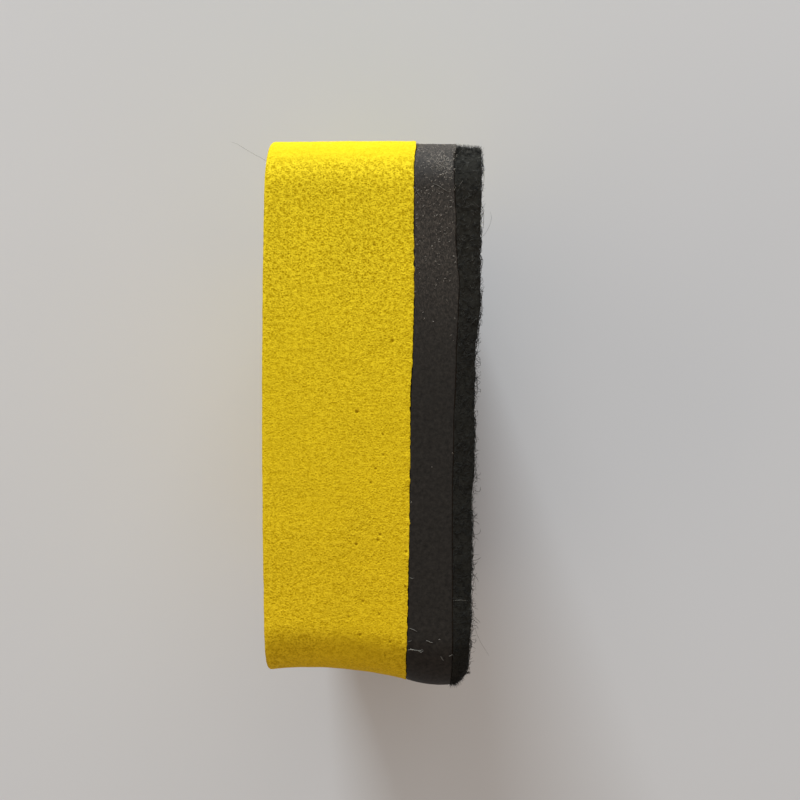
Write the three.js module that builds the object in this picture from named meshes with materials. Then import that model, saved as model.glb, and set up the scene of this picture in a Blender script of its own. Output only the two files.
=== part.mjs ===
// Mini chalkboard eraser: a square grip block of yellow EVA foam, a firmer black foam backing and
// a black felt wiping pad, glued together face to face.
//
// Units are millimetres. The eraser stands on one of its narrow sides: +Z is up, the felt faces +X
// and the back of the grip block faces -X. Y runs along the other side of the square.
// The layers are square die cuts. Soft foam spreads under the cutting press, so the low (-Y) side
// is dished across the grip block and flares out at the backing; the high (+Y) side is nearly
// straight, and the side that the eraser stands on is flat.

import * as THREE from 'three';

// Driving dimensions.
const SIDE = 50; // width and height of the square at the back of the grip block
const CORNER_RADIUS = 5.4; // rounded corners of the square
const GRIP_THICKNESS = 13.2;
const GRIP_GLUE_THICKNESS = 0.14;
const BACKING_THICKNESS = 4.1;
const FELT_GLUE_THICKNESS = 0.1;
const FELT_THICKNESS = 1.9;
const GLUE_INSET = 0.3; // each glue film stops this far inside the layers it joins

// How far the low (-Y) side stands out from the back edge of the grip block.
const LOW_FLARE_AT_GRIP_FRONT = 0.9;
const LOW_FLARE_AT_BACKING_FRONT = 1.6;
const LOW_FLARE_AT_FELT_FACE = 0.6;
const LOW_DISH = 0.65; // depth of the hollow across the grip block's low side

// The same for the high (+Y) side; negative values stand back from the edge.
const HIGH_FLARE_AT_GRIP_FRONT = 0.1;
const HIGH_FLARE_AT_BACKING_FRONT = -0.2;
const HIGH_FLARE_AT_FELT_FACE = -0.6;

// Fineness of the curved surfaces.
const CORNER_SEGMENTS = 10;
const GRIP_STEPS = 14;
const BACKING_STEPS = 4;
const FELT_STEPS = 3;

// Derived dimensions.
const TOTAL_THICKNESS =
  GRIP_THICKNESS + GRIP_GLUE_THICKNESS + BACKING_THICKNESS + FELT_GLUE_THICKNESS + FELT_THICKNESS;
const BACK_X = -TOTAL_THICKNESS / 2;
// The square is shifted so that the flared outline is centred on Y = 0.
const CENTRE_Y = (LOW_FLARE_AT_BACKING_FRONT - HIGH_FLARE_AT_GRIP_FRONT) / 2;

// Rounded square in a plane: centred across, standing on its lower edge, shrunk all round by inset.
function roundedSquare(inset) {
  const half = SIDE / 2 - inset;
  const low = inset;
  const high = SIDE - inset;
  const radius = CORNER_RADIUS - inset;
  const square = new THREE.Shape();
  square.moveTo(-half + radius, low);
  square.lineTo(half - radius, low);
  square.absarc(half - radius, low + radius, radius, -Math.PI / 2, 0);
  square.lineTo(half, high - radius);
  square.absarc(half - radius, high - radius, radius, 0, Math.PI / 2);
  square.lineTo(-half + radius, high);
  square.absarc(-half + radius, high - radius, radius, Math.PI / 2, Math.PI);
  square.lineTo(-half, low + radius);
  square.absarc(-half + radius, low + radius, radius, Math.PI, Math.PI * 1.5);
  return square;
}

// Flare of one side through a layer: from one edge value to the other, hollowed by dish between.
function flareBetween(start, end, dish = 0) {
  return (t) => start + (end - start) * t - dish * Math.sin(Math.PI * t);
}

// Moves each half of the square outwards by its side's flare, which is zero on the centre line.
function spreadSides(geometry, backX, thickness, lowFlare, highFlare) {
  const position = geometry.getAttribute('position');
  for (let i = 0; i < position.count; i += 1) {
    const t = (position.getX(i) - backX) / thickness;
    const y = position.getY(i);
    const flare = y < 0 ? lowFlare(t) : highFlare(t);
    position.setY(i, y * (1 + flare / (SIDE / 2)) + CENTRE_Y);
  }
  geometry.computeVertexNormals();
}

// One die-cut layer: the square's plane becomes Y and Z, and its thickness runs along +X.
function layerGeometry({ backX, thickness, steps, inset, lowFlare, highFlare }) {
  const geometry = new THREE.ExtrudeGeometry(roundedSquare(inset), {
    depth: thickness,
    steps,
    curveSegments: CORNER_SEGMENTS,
    bevelEnabled: false,
  });
  const axisY = new THREE.Vector3(0, 1, 0);
  const axisZ = new THREE.Vector3(0, 0, 1);
  const axisX = new THREE.Vector3(1, 0, 0);
  geometry.applyMatrix4(new THREE.Matrix4().makeBasis(axisY, axisZ, axisX));
  geometry.translate(backX, 0, 0);
  spreadSides(geometry, backX, thickness, lowFlare, highFlare);
  return geometry;
}

function layer(name, material, shape) {
  const mesh = new THREE.Mesh(layerGeometry(shape), material);
  mesh.name = name;
  return mesh;
}

// Yellow EVA foam block that the fingers hold.
function gripBlock(backX) {
  const material = new THREE.MeshStandardMaterial({ color: 0xd0b41f, roughness: 0.85, metalness: 0 });
  return layer('grip_block', material, {
    backX,
    thickness: GRIP_THICKNESS,
    steps: GRIP_STEPS,
    inset: 0,
    lowFlare: flareBetween(0, LOW_FLARE_AT_GRIP_FRONT, LOW_DISH),
    highFlare: flareBetween(0, HIGH_FLARE_AT_GRIP_FRONT),
  });
}

// Thin film of contact glue between the grip block and the backing.
function gripGlueFilm(backX) {
  const material = new THREE.MeshStandardMaterial({ color: 0x1c1914, roughness: 0.5, metalness: 0 });
  return layer('grip_glue_film', material, {
    backX,
    thickness: GRIP_GLUE_THICKNESS,
    steps: 1,
    inset: GLUE_INSET,
    lowFlare: () => LOW_FLARE_AT_GRIP_FRONT,
    highFlare: () => HIGH_FLARE_AT_GRIP_FRONT,
  });
}

// Firmer black foam sheet that keeps the felt flat.
function backingLayer(backX) {
  const material = new THREE.MeshStandardMaterial({ color: 0x302d29, roughness: 0.9, metalness: 0 });
  return layer('backing_layer', material, {
    backX,
    thickness: BACKING_THICKNESS,
    steps: BACKING_STEPS,
    inset: 0,
    lowFlare: flareBetween(LOW_FLARE_AT_GRIP_FRONT, LOW_FLARE_AT_BACKING_FRONT),
    highFlare: flareBetween(HIGH_FLARE_AT_GRIP_FRONT, HIGH_FLARE_AT_BACKING_FRONT),
  });
}

// Thin film of glue between the backing and the felt.
function feltGlueFilm(backX) {
  const material = new THREE.MeshStandardMaterial({ color: 0x1c1914, roughness: 0.5, metalness: 0 });
  return layer('felt_glue_film', material, {
    backX,
    thickness: FELT_GLUE_THICKNESS,
    steps: 1,
    inset: GLUE_INSET,
    lowFlare: () => LOW_FLARE_AT_BACKING_FRONT,
    highFlare: () => HIGH_FLARE_AT_BACKING_FRONT,
  });
}

// Needle-punched black felt pad that wipes the board.
function feltPad(backX) {
  const material = new THREE.MeshStandardMaterial({ color: 0x1f1e1a, roughness: 1, metalness: 0 });
  return layer('felt_pad', material, {
    backX,
    thickness: FELT_THICKNESS,
    steps: FELT_STEPS,
    inset: 0,
    lowFlare: flareBetween(LOW_FLARE_AT_BACKING_FRONT, LOW_FLARE_AT_FELT_FACE),
    highFlare: flareBetween(HIGH_FLARE_AT_BACKING_FRONT, HIGH_FLARE_AT_FELT_FACE),
  });
}

const gripFrontX = BACK_X + GRIP_THICKNESS;
const backingBackX = gripFrontX + GRIP_GLUE_THICKNESS;
const backingFrontX = backingBackX + BACKING_THICKNESS;
const feltBackX = backingFrontX + FELT_GLUE_THICKNESS;

const eraser = new THREE.Group();
eraser.add(gripBlock(BACK_X));
eraser.add(gripGlueFilm(gripFrontX));
eraser.add(backingLayer(backingBackX));
eraser.add(feltGlueFilm(backingFrontX));
eraser.add(feltPad(feltBackX));

export default eraser;
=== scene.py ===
"""Chalkboard eraser: the looks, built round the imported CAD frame. Units are metres."""

import math

import bmesh
import bpy
import numpy as np
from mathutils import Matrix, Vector, noise


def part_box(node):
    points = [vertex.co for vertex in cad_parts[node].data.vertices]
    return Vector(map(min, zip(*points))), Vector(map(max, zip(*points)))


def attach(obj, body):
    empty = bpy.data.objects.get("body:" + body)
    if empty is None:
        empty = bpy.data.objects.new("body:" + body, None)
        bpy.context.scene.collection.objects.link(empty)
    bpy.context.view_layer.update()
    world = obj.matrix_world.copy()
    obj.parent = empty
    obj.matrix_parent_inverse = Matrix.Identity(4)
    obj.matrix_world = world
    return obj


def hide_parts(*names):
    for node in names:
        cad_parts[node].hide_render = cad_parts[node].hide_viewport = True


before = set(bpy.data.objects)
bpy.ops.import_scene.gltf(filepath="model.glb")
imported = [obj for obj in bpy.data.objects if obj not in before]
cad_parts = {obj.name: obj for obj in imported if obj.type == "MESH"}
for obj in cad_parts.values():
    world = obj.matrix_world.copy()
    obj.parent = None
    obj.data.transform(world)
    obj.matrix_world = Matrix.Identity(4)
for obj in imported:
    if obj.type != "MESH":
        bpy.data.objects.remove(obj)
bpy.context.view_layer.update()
grip_low, grip_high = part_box("grip_block")

MM = 0.001
HALF = (grip_high.z - grip_low.z) / 2  # half a side of the plain square that the layers are cut to
UPPER_START = 1.8 * HALF  # above this height a point belongs to the uppermost side
HIGH_END = 25 * MM  # the Y of the high end, which carries most of the chalk dust and the painted sheen

# The square and its sides. A side's flare is how far it reaches past the plain square, given at the back
# and at the front of a layer. A bulge is how far it swells, or hollows, between them.
CORNER_RADIUS = 5.4 * MM
WIDEST_LOW_FLARE = 1.6 * MM
WIDEST_HIGH_FLARE = 0.1 * MM
CENTRE_Y = (WIDEST_LOW_FLARE - WIDEST_HIGH_FLARE) / 2
GRIP_SIDES = {"low": (0.0, 0.9 * MM), "high": (0.0, 0.1 * MM), "bulge": -0.62 * MM}
BACKING_SIDES = {"low": (0.9 * MM, 1.36 * MM), "high": (-0.16 * MM, -0.23 * MM), "bulge": 0.22 * MM}
FELT_SIDES = {"low": (1.30 * MM, 0.28 * MM), "high": (-0.62 * MM, -0.74 * MM), "bulge": 0.32 * MM}

# How far the hand-cut faces wander along X: pairs of Y and shift in mm, from the high end to the low end.
GRIP_JOINT = (
    (24.5, 0.52), (23.5, 0.37), (22.3, 0.26), (10.5, 0.26), (5.0, 0.14), (2.0, -0.03), (-3.5, -0.10),
    (-10.0, -0.15), (-16.5, -0.26), (-22.5, -0.42),
)
FELT_JOINT = (
    (25.0, 0.06), (24.5, 0.0), (24.1, -0.09), (23.6, -0.32), (22.8, -0.38), (20.5, -0.37), (17.4, -0.24),
    (15.4, -0.26), (13.6, -0.11), (11.8, 0.07), (9.5, -0.02), (5.0, -0.21), (-1.5, -0.42), (-7.0, -0.54),
)
FELT_FACE = (
    (24.7, 0.30), (23.9, 0.22), (22.8, 0.17), (20.0, 0.03), (10.0, -0.02), (4.8, -0.50), (-4.5, -0.58),
    (-8.5, -0.76), (-17.0, -0.85), (-22.0, -0.98),
)
STRAIGHT = ((25.0, 0.0), (-25.0, 0.0))
BACK_BOW = 0.30 * MM  # the back of the grip block is this much fuller in the middle than at its ends
LOW_LIP = 0.28 * MM  # how far the back kicks out again at the low end
LIP_START = 20 * MM
LIP_WIDTH = 5 * MM
OVER_GLUE = 0.04  # how far each foam swells over the edge of the glue between them, mm
GRIP_GLUE_INSET = (0.03 * MM, 0.12 * MM)  # how far the glue stops short of the layers' sides, along Y and Z
FELT_GLUE_INSET = (0.04 * MM, 0.04 * MM)

# The uneven surfaces: each wave's size, height and seed.
GRIP_WAVES = ((7 * MM, 0.05 * MM, 1), (1.3 * MM, 0.02 * MM, 2))
GRIP_CUT_WAVES = ((0.55 * MM, 0.07 * MM, 7), (0.2 * MM, 0.10 * MM, 8))
BACKING_WAVES = ((5 * MM, 0.04 * MM, 3), (0.9 * MM, 0.015 * MM, 4))
FELT_WAVES = ((3 * MM, 0.05 * MM, 5), (0.7 * MM, 0.05 * MM, 6))
CUT_EDGE = 0.4 * MM  # the width of the ragged strip along the grip's cut edge

# How finely the shapes are drawn: points round a corner, steps round a rounded edge, and points along a
# fibre, a thread of lint and a hair.
CORNER_POINTS = 25
EDGE_STEPS = 4
FIBRE_POINTS = 5
LINT_POINTS = 12
HAIR_POINTS = 24

# Open pores and small dents in the side that stands uppermost: X, Y and radius in mm.
LARGE_PORES = (
    (1.04, 22.56, 0.14), (0.33, 15.09, 0.15), (1.84, 6.46, 0.16), (-1.33, 0.18, 0.22),
    (1.13, -1.81, 0.14), (1.13, -3.68, 0.13), (0.33, -4.84, 0.16), (-0.12, -6.17, 0.14),
    (0.86, -10.71, 0.16), (0.55, -11.24, 0.16), (-1.35, -11.47, 0.18), (-0.68, -16.67, 0.16),
    (0.70, -17.86, 0.14), (-2.06, -17.91, 0.13), (-1.04, -19.59, 0.17), (1.66, -20.20, 0.14),
    (1.26, -21.64, 0.14), (2.99, -12.19, 0.16), (2.95, -15.45, 0.15), (2.95, -20.92, 0.15),
    (2.60, 23.20, 0.10), (-2.90, 21.05, 0.11), (-0.70, 19.25, 0.10), (-4.40, 15.40, 0.10),
    (-7.40, 14.40, 0.10), (0.33, 11.90, 0.13), (-2.20, 10.05, 0.11),
)
OTHER_PORES = 60
OTHER_PORE_RADII = (0.12, 0.2)  # the smallest and the largest, mm
OTHER_PORES_END = -0.2 * MM  # they all lie behind this X, clear of the glue
PORE_DEPTH = 0.6  # of a pore's radius
PORE_SURROUND = 0.15 * MM  # how far past a pore its finer cells reach

# Chalk dust and painted sheen on the dark layers, lighter towards the high end, which faces the window: pairs
# of Y in mm and how much of it there is, from 0 to 1.
DUST_AND_SHEEN_ALONG = ((1, 0.0), (7, 0.1), (14, 0.42), (19, 0.46), (21.7, 0.2), (23.0, 0.5), (24.4, 0.85))
DUST_PATCH = (6.5, 22.5, 49.5)  # the middle of a dense patch of it on the backing, mm
DUST_PATCH_SIZE = 1.0 * MM

# The felt's fibres and the flecks of dust: how many there are, and each one's length, the height of its arch
# or of its free end, its radius and how much it curls.
LONG_NAP = {"count": 6000, "length": 2.4 * MM, "lift": 0.12 * MM, "radius": 0.022 * MM, "curl": 1.4}
SHORT_NAP = {"count": 6000, "length": 1.3 * MM, "lift": 0.16 * MM, "radius": 0.017 * MM, "curl": 1.9}
SIDE_NAP = {"count": 5500, "length": 0.75 * MM, "lift": 0.04 * MM, "radius": 0.017 * MM, "curl": 1.2}
END_SPIKES = {"count": 4000, "length": 0.2 * MM, "lift": 0.2 * MM, "radius": 0.010 * MM, "curl": 0.6}
WHISKERS = {"count": 5500, "length": 0.33 * MM, "lift": 0.12 * MM, "radius": 0.009 * MM, "curl": 1.1}
FLECKS = {"count": 1700, "length": 0.22 * MM, "lift": 0.03 * MM, "radius": 0.014 * MM, "curl": 1.6}
FLECKS_DENSEST = 24 * MM  # the Y from which the flecks are at their densest
ROOT_SPREAD = 0.08 * MM  # how far a fibre's root strays from the vertex that it is picked at

# Pale lint caught on the uppermost side of the backing: each thread's radius and its X, Y points in mm.
LINT = (
    (0.022, ((3.37, -18.99), (3.78, -19.14), (4.08, -19.32))),
    (0.030, ((4.85, -20.11), (5.03, -20.14), (5.23, -20.24), (5.49, -20.32))),
    (0.030, ((3.26, -21.00), (3.60, -20.93), (3.85, -20.98), (4.30, -21.03), (4.57, -20.93))),
    (0.030, ((4.15, -21.03), (4.42, -21.18), (4.62, -21.03))),
    (0.022, ((3.48, -20.84), (3.64, -20.99), (3.72, -21.10))),
    (0.020, ((6.20, -21.58), (6.36, -21.90), (6.46, -21.97))),
    (0.018, ((6.91, -21.58), (7.12, -21.46), (7.26, -21.43))),
    (0.014, ((3.29, -20.20), (3.60, -20.10))),
    (0.020, ((3.40, -14.48), (3.60, -14.58), (3.81, -14.53))),
    (0.012, ((7.26, -16.58), (7.90, -16.50), (8.60, -16.56))),
    (0.018, ((4.06, 19.85), (4.30, 19.50), (4.42, 19.40))),
    (0.016, ((5.10, 22.00), (5.60, 22.20), (6.30, 22.10), (6.90, 22.45))),
    (0.018, ((5.40, 20.60), (6.00, 20.35), (6.60, 19.95), (7.10, 19.80))),
    (0.020, ((6.90, 23.20), (6.60, 22.60), (6.40, 22.10))),
    (0.018, ((8.14, 20.82), (7.95, 20.55), (7.77, 20.25))),
    (0.016, ((3.80, 19.60), (4.00, 19.90), (4.05, 20.15))),
)
LINT_ARCH = 0.02 * MM

# Loose hairs: each one's radius, height above the floor and X, Y points in mm.
HAIRS = (
    (
        0.010, 47.5,
        ((-13.05, 25.1), (-12.4, 24.85), (-11.6, 24.35), (-10.8, 23.9), (-9.9, 23.4), (-9.3, 22.9)),
    ),
    (0.012, 49.4, ((10.65, 18.2), (10.75, 17.6), (10.48, 16.7), (9.9, 15.9), (9.3, 15.5))),
    (0.012, 49.7, ((9.3, 18.0), (9.8, 18.3), (10.2, 18.9))),
    (0.010, 49.0, ((8.9, -17.2), (9.3, -19.2), (9.8, -20.5), (10.6, -21.8))),
    (0.009, 47.0, ((9.0, -14.8), (9.5, -15.6), (9.6, -16.4))),
)

# The stage. A light's row is its azimuth, turned from +Y towards -X, its elevation, distance, width and
# height, its power in watts and its colour.
LIGHTS = {
    "window": (12, 17, 1.4, 0.39, 0.28, 19.4, (0.85, 0.935, 1.0)),
    "window_wall": (0, 17, 1.5, 2.0, 0.3, 9.4, (0.85, 0.89, 1.0)),
    "bright_wall": (0, 50, 1.5, 1.5, 0.8, 3.5, (0.98, 1.0, 0.95)),
    "ceiling": (0, 88, 1.5, 1.3, 1.3, 1.5, (1.0, 0.85, 0.7)),
    "warm_wall": (90, 35, 1.5, 1.5, 0.8, 1.6, (1.0, 0.7, 0.4)),
    "low_wall": (180, 35, 1.5, 1.5, 0.8, 2.4, (1.0, 0.55, 0.4)),
}
ROOM_STRENGTH = 0.3
ROOM_COLOUR = (1.0, 0.96, 0.92)
FLOOR_REACH = 1.5
LENS = 35.4  # mm, on a 36 mm sensor
EYE = (2.55 * MM, 1.3 * MM, 2 * HALF + 70.0 * MM)


# ---------------------------------------------------------------- numbers and outlines

def smooth_step(t):
    t = np.clip(t, 0, 1)
    return t * t * (3 - 2 * t)


def noise_at(points, size, seed):
    """Smooth noise from about -1 to 1 at each point, with lumps of the given size."""
    offset = Vector((seed * 17.3, seed * 5.7, seed * 11.9))
    return np.array([noise.noise(Vector(p) / size + offset) for p in points])


def uneven(points, waves):
    """How far each point is raised by waves of several sizes."""
    return sum(noise_at(points, size, seed) * height for size, height, seed in waves)


def rounded_square(half, radius, quarter):
    """4 * quarter points (y, z) evenly spaced round a square, from the middle of its lower left corner."""
    turns = np.linspace(0, math.pi / 2, CORNER_POINTS)
    arc = np.stack([np.cos(turns), np.sin(turns)], 1) * radius + (half - radius)
    corners = []
    for k in range(4):
        turn = math.pi * (1 + k / 2)
        spin = np.array([[math.cos(turn), -math.sin(turn)], [math.sin(turn), math.cos(turn)]])
        corners.append(arc @ spin.T)
    outline = np.roll(np.concatenate(corners), -(CORNER_POINTS // 2), axis=0)
    outline = np.concatenate([outline, outline[:1]])
    steps = np.linalg.norm(np.diff(outline, axis=0), axis=1)
    length = np.concatenate([[0], np.cumsum(steps)])
    wanted = np.arange(4 * quarter) / (4 * quarter) * length[-1]
    return np.stack([np.interp(wanted, length, outline[:, i]) for i in (0, 1)], 1)


def coons_grid(ring, quarter):
    """A (quarter + 1, quarter + 1, 2) grid that fills a closed ring of 4 * quarter points."""
    low = ring[: quarter + 1]
    right = ring[quarter : 2 * quarter + 1]
    high = ring[2 * quarter : 3 * quarter + 1][::-1]
    left = np.concatenate([ring[3 * quarter :], ring[:1]])[::-1]
    u = np.linspace(0, 1, quarter + 1)[None, :, None]
    v = np.linspace(0, 1, quarter + 1)[:, None, None]
    between_low_high = (1 - v) * low[None] + v * high[None]
    between_sides = (1 - u) * left[:, None] + u * right[:, None]
    low_corners = (1 - u) * low[0] + u * low[-1]
    high_corners = (1 - u) * high[0] + u * high[-1]
    return between_low_high + between_sides - (1 - v) * low_corners - v * high_corners


def smooth_path(points, count):
    """So many points along a smooth curve through a few given ones."""
    points = np.array(points, float)
    ends = np.concatenate([[2 * points[0] - points[1]], points, [2 * points[-1] - points[-2]]])
    found = []
    for t in np.linspace(0, len(points) - 1, count):
        k = min(int(t), len(points) - 2)
        f = t - k
        a, b, c, d = ends[k : k + 4]
        found.append(b + 0.5 * f * (c - a + f * (2 * a - 5 * b + 4 * c - d + f * (3 * (b - c) + d - a))))
    return np.array(found)


def unit(vectors):
    return vectors / np.linalg.norm(vectors, axis=-1, keepdims=True)


# ---------------------------------------------------------------- the layers' shapes

class Layer:
    """One die-cut layer: where its two faces lie along X, and how its sides flare between them. A bow makes
    its back fuller in the middle, and a lip kicks the back out at the low end."""

    def __init__(self, node, sides, back_line, front_line, bow=0.0, lip=0.0):
        low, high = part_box(node)
        self.back, self.front = low.x, high.x
        self.sides = sides
        self.back_line, self.front_line = back_line, front_line
        self.bow, self.lip = bow, lip

    def place(self, yz, t):
        """Points of the layer: yz on the plain square centred on zero, t from 0 at the back to 1 in front."""
        low = np.interp(t, (0, 1), self.sides["low"]) + self.sides["bulge"] * 4 * t * (1 - t)
        high = np.interp(t, (0, 1), self.sides["high"])
        y, z = yz[..., 0], yz[..., 1]
        y = y * (1 + np.where(y < 0, low, high) / HALF) + CENTRE_Y
        back = self.back + joint_shift(y, self.back_line) + self.bow * ((y / HALF) ** 2 - 0.25)
        back = back - self.lip * smooth_step((-y - LIP_START) / LIP_WIDTH)
        front = self.front + joint_shift(y, self.front_line)
        return np.stack([back + (front - back) * t, y, z + HALF], -1)


def moved(line, by):
    """A face's line moved along X, in mm."""
    return tuple((y, shift + by) for y, shift in line)


def joint_shift(y, line):
    """How far a face has wandered along X at y, smoothly from each given point to the next."""
    heights, shifts = np.array(line[::-1]).T * MM
    above = np.clip(np.searchsorted(heights, y), 1, len(heights) - 1)
    t = smooth_step((y - heights[above - 1]) / (heights[above] - heights[above - 1]))
    return shifts[above - 1] + (shifts[above] - shifts[above - 1]) * t


def fillet(radius):
    """(distance from the face, inset from the side) pairs round a rounded edge, from face to side."""
    turns = np.linspace(0, math.pi / 2, EDGE_STEPS + 1)
    return [(radius * (1 - math.cos(a)), radius * (1 - math.sin(a))) for a in turns]


def layer_mesh(name, layer, quarter, rows, edge_radii, fine_face=None):
    """A closed mesh of a layer: rings of cells round the sides, a grid on the fine face ("back", "front" or
    none) and a single polygon on a face that is glued to its neighbour."""
    thickness = layer.front - layer.back
    back_radius, front_radius = edge_radii
    start = [(x / thickness, inset) for x, inset in fillet(back_radius)]
    end = [(1 - x / thickness, inset) for x, inset in fillet(front_radius)][::-1]
    middle = [(t, 0.0) for t in np.linspace(start[-1][0], end[0][0], rows + 1)[1:-1]]
    profile = start + middle + end
    ring = rounded_square(HALF, CORNER_RADIUS, quarter)
    count = len(ring)
    points = [layer.place(ring * (1 - inset / HALF), t) for t, inset in profile]
    along = np.arange(count)
    after = (along + 1) % count
    faces = []
    for k in range(len(profile) - 1):
        quads = [along + k * count, after + k * count, after + (k + 1) * count, along + (k + 1) * count]
        faces += np.stack(quads, 1).tolist()
    last = (len(profile) - 1) * count
    for face, first, t, inset in (("back", 0, 0.0, back_radius), ("front", last, 1.0, front_radius)):
        if face == fine_face:
            inner, cells = face_grid(ring * (1 - inset / HALF), quarter, first, sum(map(len, points)))
            points.append(layer.place(inner, t))
        else:
            cells = [(along + first).tolist()]
        faces += [c[::-1] for c in cells] if face == "back" else cells
    mesh = bpy.data.meshes.new(name)
    mesh.from_pydata(np.concatenate(points), [], faces)
    return mesh


def face_grid(ring, quarter, ring_start, inner_start):
    """The inner points of a face's grid, and its cells as vertex numbers."""
    grid = coons_grid(ring, quarter)
    ids = np.zeros((quarter + 1, quarter + 1), int)
    numbers = np.arange(quarter + 1)
    ids[0, :] = numbers
    ids[:, -1] = numbers + quarter
    ids[-1, ::-1] = numbers + 2 * quarter
    ids[::-1, 0] = (numbers + 3 * quarter) % (4 * quarter)
    ids += ring_start
    ids[1:-1, 1:-1] = np.arange((quarter - 1) ** 2).reshape(quarter - 1, -1) + inner_start
    cells = np.stack([ids[:-1, :-1], ids[:-1, 1:], ids[1:, 1:], ids[1:, :-1]], -1)
    return grid[1:-1, 1:-1].reshape(-1, 2), cells.reshape(-1, 4).tolist()


def points_of(mesh):
    points = np.empty(len(mesh.vertices) * 3)
    mesh.vertices.foreach_get("co", points)
    return points.reshape(-1, 3)


def normals_of(mesh):
    normals = np.empty(len(mesh.vertices) * 3)
    mesh.vertex_normals.foreach_get("vector", normals)
    return normals.reshape(-1, 3)


def push_along_normals(mesh, heights):
    """Moves each vertex along its normal, and keeps it above the surface that the eraser stands on."""
    points = points_of(mesh) + normals_of(mesh) * heights[:, None]
    points[:, 2] = np.maximum(points[:, 2], 0)
    mesh.vertices.foreach_set("co", points.ravel())
    mesh.update()


def on_upper_side(mesh, spots):
    """The vertex of the mesh's uppermost side nearest to each X, Y spot."""
    points = points_of(mesh)
    upper = points[normals_of(mesh)[:, 2] > 0.3]
    return np.array([upper[np.argmin(np.linalg.norm(upper[:, :2] - spot, axis=1))] for spot in spots])


def show(mesh, material):
    """Puts a smooth-shaded piece of this mesh in the scene, riding the one body."""
    mesh.shade_smooth()
    mesh.materials.append(material)
    piece = bpy.data.objects.new(mesh.name, mesh)
    bpy.context.scene.collection.objects.link(piece)
    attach(piece, "root")
    return piece


# ---------------------------------------------------------------- pores and fibres

def sunk_pores(mesh, pores):
    """Cuts the cells round each pore finer, sinks them to a hollow and notes how deep each vertex lies, which
    the foam's colour turns into painted shade in the pore.
    """
    build = bmesh.new()
    build.from_mesh(mesh)
    centres = np.array([f.calc_center_median()[:] for f in build.faces])
    near = np.zeros(len(centres), bool)
    for x, y, z, radius in pores:
        near |= np.linalg.norm(centres - (x, y, z), axis=1) < radius + PORE_SURROUND
    build.faces.ensure_lookup_table()
    edges = {e for k in np.flatnonzero(near) for e in build.faces[k].edges}
    ordered = sorted(edges, key=lambda e: e.index)
    bmesh.ops.subdivide_edges(build, edges=ordered, cuts=2, use_grid_fill=True)
    build.to_mesh(mesh)
    build.free()
    points = points_of(mesh)
    sunk = np.zeros(len(points))
    depth = np.zeros(len(points))
    for x, y, z, radius in pores:
        away = np.linalg.norm(points - (x, y, z), axis=1) / radius
        hollow = np.clip(1 - away ** 2, 0, 1) ** 1.5
        sunk = np.maximum(sunk, hollow)
        depth = np.maximum(depth, hollow * radius * PORE_DEPTH)
    push_along_normals(mesh, -depth)
    mesh.attributes.new("pore", "FLOAT", "POINT").data.foreach_set("value", sunk)


def pore_places(mesh):
    """The centre and radius of each large pore: chosen ones on top, and others over all the free sides."""
    chosen = np.array(LARGE_PORES) * MM
    top = on_upper_side(mesh, chosen[:, :2])
    rng = np.random.default_rng(11)
    points = points_of(mesh)
    free = points[(points[:, 2] < UPPER_START) & (points[:, 0] < OTHER_PORES_END)]
    spots = free[rng.choice(len(free), OTHER_PORES)]
    radii = rng.uniform(*OTHER_PORE_RADII, OTHER_PORES) * MM
    return [(*p, r) for p, r in zip([*top, *spots], [*chosen[:, 2], *radii])]


def tubes(name, paths, radii, sides=3):
    """A mesh of closed tubes, one along each path: paths is (count, steps, 3), radii is (count, steps)."""
    count, steps = radii.shape
    along = unit(np.gradient(paths, axis=1))
    any_other = along[:, 0][:, [1, 2, 0]] + (0.1, 0.2, 0.3)
    side = unit(np.cross(along[:, 0], any_other))
    turns = np.arange(sides) / sides * 2 * math.pi
    rings = []
    for k in range(steps):
        side = unit(side - (side * along[:, k]).sum(1, keepdims=True) * along[:, k])
        up = np.cross(along[:, k], side)
        spokes = np.cos(turns)[None, :, None] * side[:, None] + np.sin(turns)[None, :, None] * up[:, None]
        rings.append(paths[:, k, None] + spokes * radii[:, k, None, None])
    ids = np.arange(count * steps * sides).reshape(count, steps, sides)
    near, far = ids[:, :-1], ids[:, 1:]
    walls = np.stack([near, np.roll(near, -1, 2), np.roll(far, -1, 2), far], -1)
    faces = walls.reshape(-1, 4).tolist() + ids[:, 0, ::-1].tolist() + ids[:, -1].tolist()
    mesh = bpy.data.meshes.new(name)
    mesh.from_pydata(np.stack(rings, 1).reshape(-1, 3), [], faces)
    return mesh


def fibre_paths(rng, roots, normals, lengths, lifts, curl, arched):
    """Paths that start at the roots and wander over the surface. An arched fibre comes back down to it, and a
    free one ends its lift above it."""
    count = len(roots)
    heading = unit(np.cross(normals, unit(rng.normal(size=(count, 3)))))
    side = np.cross(normals, heading)
    u = np.linspace(0, 1, FIBRE_POINTS)[None, :, None]
    bend = (rng.normal(size=count) * curl)[:, None, None]
    wiggle = (rng.normal(size=count) * curl)[:, None, None] * np.sin(u * 5)
    angle = bend * u + wiggle * 0.5
    headings = np.cos(angle) * heading[:, None] + np.sin(angle) * side[:, None]
    flat = np.cumsum(headings, axis=1) * (lengths / (FIBRE_POINTS - 1))[:, None, None]
    rise = np.sin(u * math.pi) if arched else u ** 1.5
    return roots[:, None] + flat + normals[:, None] * rise * lifts[:, None, None]


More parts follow.
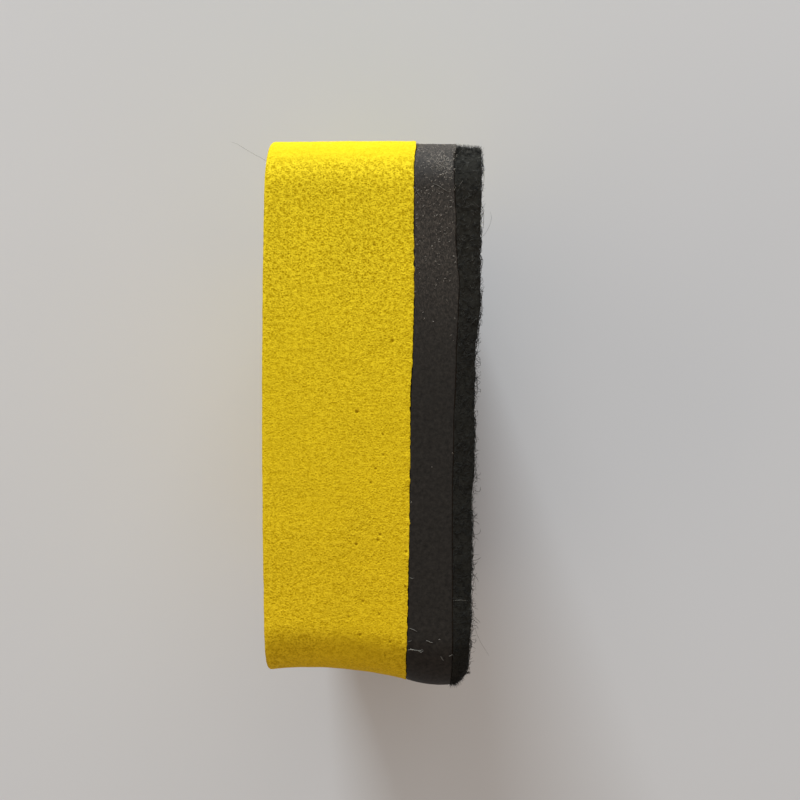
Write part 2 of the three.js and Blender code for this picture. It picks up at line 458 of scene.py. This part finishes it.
def fibres_on(rng, mesh, weights, count, length, lift, radius, curl, arched=True):
    """Thin fibres rooted on a mesh, more of them where its vertices weigh more: their paths and radii."""
    points, normals = points_of(mesh), normals_of(mesh)
    picked = rng.choice(len(points), count, p=weights / weights.sum())
    normals = normals[picked]
    nudge = rng.normal(size=(count, 3)) * ROOT_SPREAD
    nudge -= (nudge * normals).sum(1, keepdims=True) * normals
    lengths = length * rng.uniform(0.5, 1.3, count)
    lifts = lift * np.minimum(rng.gamma(2.0, 0.5, count), 2.2)
    roots = points[picked] + nudge - normals * radius
    paths = fibre_paths(rng, roots, normals, lengths, lifts, curl, arched)
    paths[:, :, 2] = np.maximum(paths[:, :, 2], radius)
    taper = np.interp(np.linspace(0, 1, FIBRE_POINTS), (0, 0.7, 1), (1, 1, 0.4))
    radii = radius * rng.uniform(0.7, 1.3, count)[:, None] * taper[None]
    return paths, radii


def kept_on_face(paths, mesh, margin):
    """Pulls fibres that stray past the rounded square of the felt's face back to a margin round it."""
    face = points_of(mesh)[normals_of(mesh)[:, 0] > 0.95][:, 1:]
    low, high = face.min(0), face.max(0)
    away = paths[:, :, 1:] - (low + high) / 2
    straight = (high - low) / 2 - CORNER_RADIUS
    round_part = np.maximum(np.abs(away) - straight, 0)
    reach = np.linalg.norm(round_part, axis=2, keepdims=True)
    limit = CORNER_RADIUS + margin
    round_part *= np.minimum(1, limit / np.maximum(reach, limit))
    paths = paths.copy()
    paths[:, :, 1:] = (low + high) / 2 + np.sign(away) * (np.minimum(np.abs(away), straight) + round_part)
    return paths


# ---------------------------------------------------------------- materials

class Coat:
    """A material under way, with short methods that add its nodes. A value is a number or a socket."""

    def __init__(self, name, roughness, specular):
        self.material = bpy.data.materials.new(name)
        self.material.use_nodes = True
        self.tree = self.material.node_tree
        self.shader = self.tree.nodes["Principled BSDF"]
        self.fill(self.shader, {"Roughness": roughness, "Specular IOR Level": specular})
        self.place = self.add("ShaderNodeTexCoord").outputs["Object"]

    def fill(self, node, inputs):
        for key, value in inputs.items():
            if isinstance(value, bpy.types.NodeSocket):
                self.tree.links.new(value, node.inputs[key])
            else:
                node.inputs[key].default_value = value

    def add(self, kind, inputs=None, **settings):
        node = self.tree.nodes.new(kind)
        for key, value in settings.items():
            setattr(node, key, value)
        self.fill(node, inputs or {})
        return node

    def noise(self, scale, detail=2.0, place=None, **more):
        """Noise from 0 to 1, with about scale lumps to the metre."""
        inputs = {"Vector": place or self.place, "Scale": scale, "Detail": detail, **more}
        return self.add("ShaderNodeTexNoise", inputs).outputs["Fac"]

    def graded(self, value, start, end, low=0.0, high=1.0, smooth=False):
        """From low to high as the value goes from start to end."""
        inputs = {"Value": value, "From Min": start, "From Max": end, "To Min": low, "To Max": high}
        way = "SMOOTHSTEP" if smooth else "LINEAR"
        return self.add("ShaderNodeMapRange", inputs, interpolation_type=way).outputs[0]

    def maths(self, operation, *values):
        return self.add("ShaderNodeMath", dict(enumerate(values)), operation=operation).outputs[0]

    def vector_maths(self, operation, *values, **more):
        inputs = {**dict(enumerate(values)), **more}
        return self.add("ShaderNodeVectorMath", inputs, operation=operation).outputs[0]

    def mix(self, factor, colour_a, colour_b, blend_type="MIX"):
        """A mix of two colours; each is three numbers or a socket."""
        inputs = {"Factor": factor}
        for key, colour in (("A", colour_a), ("B", colour_b)):
            inputs[key] = colour if isinstance(colour, bpy.types.NodeSocket) else (*colour, 1)
        return self.add("ShaderNodeMix", inputs, data_type="RGBA", blend_type=blend_type).outputs["Result"]

    def finished(self, colour, height=None, bump_strength=1.0, bump_depth=0.0):
        """The material, with its colour and any bump linked to its shader."""
        self.fill(self.shader, {"Base Color": colour})
        if height is not None:
            inputs = {"Height": height, "Strength": bump_strength, "Distance": bump_depth}
            self.fill(self.shader, {"Normal": self.add("ShaderNodeBump", inputs).outputs["Normal"]})
        return self.material


def two_toned(name, tones, scale, detail=2.0, roughness=0.8, specular=0.05):
    """A material that wanders between two colours."""
    coat = Coat(name, roughness, specular)
    return coat.finished(coat.mix(coat.noise(scale, detail), *tones))


def dust_and_painted_sheen(coat):
    """How much chalk dust and painted sheen the dark layers carry, from 0 at the middle to most at the very
    high end, which faces the window.
    """
    high = coat.add("ShaderNodeSeparateXYZ", {0: coat.place}).outputs["Y"]
    # Painted sheen mixed with real chalk dust: the ramp lightens the dark layers towards the high end.
    ramp = coat.add("ShaderNodeValToRGB", {"Fac": coat.graded(high, 0, HIGH_END)})
    stops = ramp.color_ramp.elements
    for _ in DUST_AND_SHEEN_ALONG[2:]:
        stops.new(0.5)
    for stop, (y, dust_and_sheen) in zip(stops, DUST_AND_SHEEN_ALONG):
        stop.position = y * MM / HIGH_END
        stop.color = (dust_and_sheen, dust_and_sheen, dust_and_sheen, 1)
    return ramp.outputs["Color"]


def cut_cells(coat):
    """The height of the yellow foam's cut surface: ragged bowls, soft lumps and a fine grain."""
    warp = coat.add("ShaderNodeTexNoise", {"Vector": coat.place, "Scale": 2500, "Detail": 2.0})
    swirl = coat.vector_maths("SCALE", warp.outputs["Color"], Scale=0.22 * MM)
    bent = coat.vector_maths("ADD", coat.place, swirl)
    cells = coat.add("ShaderNodeTexVoronoi", {"Vector": bent, "Scale": 3800}).outputs["Distance"]
    bowls = coat.graded(cells, 0.05, 0.5, smooth=True)
    fine = coat.noise(6500, Roughness=0.6)
    return coat.maths("MULTIPLY_ADD", fine, 3.4, coat.maths("MULTIPLY_ADD", coat.noise(2600), 2.6, bowls))


def wear_and_highlight_smoothing(coat):
    """How far the foam's grain is smoothed away: worn off in patches and over the low half, and calmed at the
    high end's top, where that stands in for the blown highlight and blur along the rounded edge as a painted
    highlight.
    """
    place = coat.add("ShaderNodeSeparateXYZ", {0: coat.place}).outputs
    patches = coat.graded(coat.noise(90, detail=1.0), 0.4, 0.65, high=0.2, smooth=True)
    low_half = coat.graded(place["Y"], 15 * MM, 4 * MM, high=0.4, smooth=True)
    # Painted highlight: at the high end's top the grain is calmed to stand in for the blown highlight and
    # blur along that rounded edge, not for wear.
    highlight_wash = coat.graded(place["Y"], 21.5 * MM, 24 * MM, high=0.8, smooth=True)
    upper = coat.graded(place["Z"], 44 * MM, 48 * MM, smooth=True)
    broad = coat.maths("ADD", patches, low_half)
    return coat.maths("MAXIMUM", broad, coat.maths("MULTIPLY", highlight_wash, upper))


def yellow_foam():
    """Closed-cell foam: a fine grain of cut cells, small dark pores, and large ones sunk in the mesh; the
    cells' hollows and the pores are darkened with painted shade.
    """
    coat = Coat("yellow_foam", roughness=0.7, specular=0.03)
    height = cut_cells(coat)
    # Partly the foam's own grain, partly painted shade: the colour follows the cells' height and is darker
    # down in their hollows.
    grain_and_hollow_shade = coat.mix(coat.graded(height, 3.17, 4.47), (0.455, 0.29, 0.0), (0.985, 0.75, 0.026))
    # Where the grain is smoothed it turns to a calm flat yellow: worn patches and the low half, and at the
    # high end's top a painted highlight.
    grain = coat.mix(wear_and_highlight_smoothing(coat), grain_and_hollow_shade, (0.80, 0.585, 0.010))
    along = coat.add("ShaderNodeSeparateXYZ", {0: coat.place}).outputs["Y"]
    # Painted shade: the foam is darker and more orange towards the low end, away from the window, and lighter
    # at the high end.
    painted_end_shade = coat.mix(coat.graded(along, -HIGH_END, HIGH_END), (0.89, 0.81, 0.90), (1.0, 1.025, 1.0))
    with_end_shade = coat.mix(1.0, grain, painted_end_shade, "MULTIPLY")
    mottle = coat.graded(coat.noise(260, detail=3.0), 0.3, 0.7, low=0.96, high=1.03)
    shade = coat.mix(1.0, with_end_shade, mottle, "MULTIPLY")
    # Painted shade: each pore darkens towards its bottom, standing in for the shade deep in a hole.
    pore = coat.add("ShaderNodeAttribute", attribute_name="pore").outputs["Fac"]
    colour = coat.mix(pore, shade, (0.40, 0.26, 0.002))
    return coat.finished(colour, height, bump_strength=1.0, bump_depth=0.018 * MM)


def black_foam():
    """Dense dark foam, smooth and dark below and lighter towards the high end, where chalk dust is brushed on
    and a sheen is painted.
    """
    coat = Coat("black_foam", roughness=0.65, specular=0.15)
    cells = coat.noise(2600, detail=4.0, Roughness=0.7)
    stretched = coat.vector_maths("MULTIPLY", coat.place, (1.0, 0.6, 1.0))
    strokes = coat.noise(6500, detail=3.0, place=stretched, Roughness=0.75, Distortion=0.8)
    speckle = coat.graded(cells, 0.25, 0.75)
    foam = coat.mix(speckle, (0.007, 0.0062, 0.0052), (0.031, 0.027, 0.0225))
    streak = coat.graded(strokes, 0.46, 0.72, low=0.1, high=1.5)
    # Painted sheen with real chalk dust: the foam lightens towards the high end, which faces the window.
    dust_and_sheen = coat.maths("MULTIPLY", dust_and_painted_sheen(coat), streak)
    colour = coat.mix(dust_and_sheen, foam, (0.150, 0.127, 0.103))
    height = coat.maths("MULTIPLY_ADD", strokes, 0.8, cells)
    return coat.finished(colour, height, bump_strength=0.6, bump_depth=0.04 * MM)


def felt_base():
    """The matted body of the felt under its loose fibres."""
    coat = Coat("felt_base", roughness=0.9, specular=0.05)
    mat = coat.noise(2200, detail=4.0, Roughness=0.65, Distortion=1.2)
    black = coat.mix(mat, (0.005, 0.005, 0.004), (0.032, 0.031, 0.026))
    # Chalk dust and painted sheen: the felt lightens towards the high end.
    dust_and_sheen = coat.maths("MULTIPLY", dust_and_painted_sheen(coat), mat)
    colour = coat.mix(dust_and_sheen, black, (0.040, 0.038, 0.031))
    return coat.finished(colour, mat, bump_strength=0.8, bump_depth=0.08 * MM)


def felt_fibre():
    """Fibres of the felt: nearly all black, with some greyer ones, which grow paler at the high end with
    chalk dust and painted sheen.
    """
    coat = Coat("felt_fibre", roughness=0.7, specular=0.2)
    greyer = coat.graded(coat.noise(2600, detail=1.0), 0.45, 0.7)
    # Chalk dust and painted sheen make the greyer fibres paler towards the high end.
    dust_and_sheen_share = coat.graded(dust_and_painted_sheen(coat), 0, 1, low=0.08)
    grey = coat.maths("MULTIPLY", greyer, dust_and_sheen_share)
    return coat.finished(coat.mix(grey, (0.011, 0.011, 0.0095), (0.18, 0.175, 0.15)))


def felt_nap():
    """The longer fibres brushed flat on the wiping face: charcoal grey over black."""
    coat = Coat("felt_nap", roughness=0.7, specular=0.2)
    grey = coat.graded(coat.noise(1600), 0.4, 0.7)
    return coat.finished(coat.mix(grey, (0.012, 0.012, 0.0105), (0.13, 0.127, 0.115)))


def pale_lint():
    tones = ((0.08, 0.076, 0.066), (0.34, 0.33, 0.29))
    return two_toned("pale_lint", tones, scale=2500, specular=0.1)


def dust_grey():
    tones = ((0.03, 0.027, 0.022), (0.75, 0.68, 0.58))
    return two_toned("dust_grey", tones, scale=1800, detail=1.0, roughness=0.9)


def loose_hair():
    tones = ((0.05, 0.05, 0.045), (0.16, 0.15, 0.13))
    return two_toned("loose_hair", tones, scale=900, detail=1.0, roughness=0.5, specular=0.3)


def glue():
    tones = ((0.009, 0.006, 0.004), (0.02, 0.014, 0.009))
    return two_toned("glue", tones, scale=900)


def pale_floor():
    tones = ((0.60, 0.60, 0.60), (0.64, 0.64, 0.64))
    return two_toned("pale_floor", tones, scale=12, roughness=0.9, specular=0.0)


# ---------------------------------------------------------------- the pieces

def grip_foam():
    layer = Layer("grip_block", GRIP_SIDES, STRAIGHT, moved(GRIP_JOINT, OVER_GLUE), BACK_BOW, LOW_LIP)
    radii = (0.35 * MM, 0.04 * MM)
    mesh = layer_mesh("grip_foam", layer, quarter=190, rows=60, edge_radii=radii, fine_face="back")
    points = points_of(mesh)
    from_joint = layer.front + joint_shift(points[:, 1], GRIP_JOINT) - points[:, 0]
    cut_edge = np.exp(-(from_joint / CUT_EDGE) ** 2)
    push_along_normals(mesh, uneven(points, GRIP_WAVES) + uneven(points, GRIP_CUT_WAVES) * cut_edge)
    sunk_pores(mesh, pore_places(mesh))
    piece = show(mesh, yellow_foam())
    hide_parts("grip_block")


def glue_films():
    """The thin dark edges of the two glue lines. The grip's is squeezed thinner by the foam on both sides."""
    material = glue()
    for node, neighbour, line, squeeze, insets in (
        ("grip_glue_film", BACKING_SIDES, GRIP_JOINT, OVER_GLUE, GRIP_GLUE_INSET),
        ("felt_glue_film", FELT_SIDES, FELT_JOINT, 0.0, FELT_GLUE_INSET),
    ):
        sides = {"low": neighbour["low"][:1] * 2, "high": neighbour["high"][:1] * 2, "bulge": 0.0}
        layer = Layer(node, sides, moved(line, squeeze), moved(line, -squeeze))
        mesh = layer_mesh(node + "_edge", layer, quarter=60, rows=2, edge_radii=(0.01 * MM, 0.01 * MM))
        points = points_of(mesh)
        middle = (CENTRE_Y, HALF)
        points[:, 1:] = (points[:, 1:] - middle) * (1 - np.array(insets) / HALF) + middle
        mesh.vertices.foreach_set("co", points.ravel())
        piece = show(mesh, material)
        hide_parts(node)


def backing_foam():
    layer = Layer("backing_layer", BACKING_SIDES, moved(GRIP_JOINT, -OVER_GLUE), FELT_JOINT)
    mesh = layer_mesh("backing_foam", layer, quarter=250, rows=24, edge_radii=(0.03 * MM, 0.02 * MM))
    push_along_normals(mesh, uneven(points_of(mesh), BACKING_WAVES))
    piece = show(mesh, black_foam())
    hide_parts("backing_layer")
    return mesh


def felt():
    layer = Layer("felt_pad", FELT_SIDES, FELT_JOINT, FELT_FACE)
    radii = (0.05 * MM, 0.12 * MM)
    mesh = layer_mesh("felt", layer, quarter=220, rows=10, edge_radii=radii, fine_face="front")
    push_along_normals(mesh, uneven(points_of(mesh), FELT_WAVES))
    piece = show(mesh, felt_base())
    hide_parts("felt_pad")
    return mesh


def felt_fibres(mesh):
    """Loose fibres on the felt: a flat nap over its wiping face, a shorter one on its cut sides, and whiskers
    that stand off the sides and the rim. Spikes stand off both ends, most of them at the uppermost edge."""
    facing, across = normals_of(mesh)[:, 0], normals_of(mesh)[:, 1]
    face = (facing > 0.95).astype(float)
    sides = (np.abs(facing) < 0.6).astype(float)
    rim = ((facing > 0.1) & (facing < 0.98)).astype(float)
    upper = points_of(mesh)[:, 2] > UPPER_START
    ends = ((across > 0.7) + 0.3 * (across < -0.7)) * (1.0 + 6.0 * upper)
    rng = np.random.default_rng(21)
    long_nap, long_radii = fibres_on(rng, mesh, face, **LONG_NAP)
    short_nap, short_radii = fibres_on(rng, mesh, face, **SHORT_NAP)
    side_nap, side_radii = fibres_on(rng, mesh, sides, **SIDE_NAP)
    spikes = fibres_on(rng, mesh, ends, **END_SPIKES, arched=False)
    whiskers = fibres_on(rng, mesh, sides + 2 * rim, **WHISKERS, arched=False)
    low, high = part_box("felt_pad")
    joint = low.x + joint_shift(side_nap[:, :, 1], FELT_JOINT)
    side_nap[:, :, 0] = np.clip(side_nap[:, :, 0], joint, high.x)
    nap, fibre = felt_nap(), felt_fibre()
    for name, material, paths, radii in (
        ("felt_nap_long", nap, kept_on_face(long_nap, mesh, margin=0.05 * MM), long_radii),
        ("felt_nap_short", nap, kept_on_face(short_nap, mesh, margin=0.1 * MM), short_radii),
        ("felt_side_nap", fibre, side_nap, side_radii),
        ("felt_whiskers", fibre, *whiskers),
        ("felt_end_spikes", fibre, *spikes),
    ):
        piece = show(tubes(name, paths, radii), material)


def dust_flecks(mesh):
    """Short pale bits brushed on to the backing's sides, most near the high end, with one dense patch."""
    points, facing = points_of(mesh), normals_of(mesh)[:, 0]
    high = smooth_step(points[:, 1] / FLECKS_DENSEST)
    from_patch = np.linalg.norm(points - np.array(DUST_PATCH) * MM, axis=1)
    patch = np.exp(-(from_patch / DUST_PATCH_SIZE) ** 2)
    weights = (np.abs(facing) < 0.3) * (0.003 + 0.6 * high ** 2 + 8 * patch)
    paths, radii = fibres_on(np.random.default_rng(31), mesh, weights, **FLECKS)
    piece = show(tubes("dust_flecks", paths, radii), dust_grey())


def lint(mesh):
    """Pale threads that lie on the backing's uppermost side, each arched a little off it."""
    along = np.linspace(0, 1, LINT_POINTS)
    arch = LINT_ARCH * np.sin(along * math.pi)
    taper = np.interp(along, (0, 0.3, 0.8, 1), (0.5, 1, 0.8, 0.3))
    paths, radii = [], []
    for radius, spots in LINT:
        path = smooth_path(np.array(spots) * MM, LINT_POINTS)
        top = on_upper_side(mesh, path)[:, 2]
        paths.append(np.column_stack([path, top + radius * MM * 0.6 + arch]))
        radii.append(radius * MM * taper)
    piece = show(tubes("lint", np.array(paths), np.array(radii), sides=5), pale_lint())


def hairs():
    """A few loose hairs that hang on to the corner of the grip and the rim of the felt."""
    taper = np.interp(np.linspace(0, 1, HAIR_POINTS), (0, 0.2, 0.9, 1), (0.5, 1, 1, 0.6))
    paths, radii = [], []
    for radius, height, spots in HAIRS:
        path = smooth_path(np.array(spots) * MM, HAIR_POINTS)
        paths.append(np.column_stack([path, np.full(HAIR_POINTS, height * MM)]))
        radii.append(radius * MM * taper)
    piece = show(tubes("loose_hairs", np.array(paths), np.array(radii), sides=4), loose_hair())


# ---------------------------------------------------------------- the stage

def floor():
    mesh = bpy.data.meshes.new("floor")
    corners = [(x * FLOOR_REACH, y * FLOOR_REACH, 0) for x, y in ((-1, -1), (1, -1), (1, 1), (-1, 1))]
    mesh.from_pydata(corners, [], [(0, 1, 2, 3)])
    mesh.materials.append(pale_floor())
    piece = bpy.data.objects.new("floor", mesh)
    bpy.context.scene.collection.objects.link(piece)


def area_light(name, azimuth, elevation, distance, width, height, power, colour):
    """A soft rectangular light that faces the eraser."""
    light = bpy.data.lights.new(name, "AREA")
    light.shape = "RECTANGLE"
    light.size, light.size_y = width, height
    light.energy = power
    light.color = colour
    lamp = bpy.data.objects.new(name, light)
    a, e = math.radians(azimuth), math.radians(elevation)
    out = Vector((-math.sin(a) * math.cos(e), math.cos(a) * math.cos(e), math.sin(e)))
    lamp.location = out * distance + Vector((0, 0, HALF))
    lamp.rotation_euler = out.to_track_quat("Z", "Y").to_euler()
    bpy.context.scene.collection.objects.link(lamp)


def room_light():
    """A weak, even light from all round."""
    world = bpy.data.worlds.new("room")
    world.use_nodes = True
    background = world.node_tree.nodes["Background"]
    background.inputs["Color"].default_value = (*ROOM_COLOUR, 1)
    background.inputs["Strength"].default_value = ROOM_STRENGTH
    bpy.context.scene.world = world


def camera():
    """Looks straight down on the uppermost side from close by."""
    data = bpy.data.cameras.new("camera")
    data.lens = LENS
    data.sensor_width = 36
    data.clip_start = 1 * MM
    eye = bpy.data.objects.new("camera", data)
    eye.location = EYE
    bpy.context.scene.collection.objects.link(eye)
    bpy.context.scene.camera = eye
    bpy.context.scene.view_settings.view_transform = "Standard"


camera()
grip_foam()
glue_films()
backing = backing_foam()
pad = felt()
felt_fibres(pad)
dust_flecks(backing)
lint(backing)
hairs()
floor()
for name, settings in LIGHTS.items():
    area_light(name, *settings)
room_light()
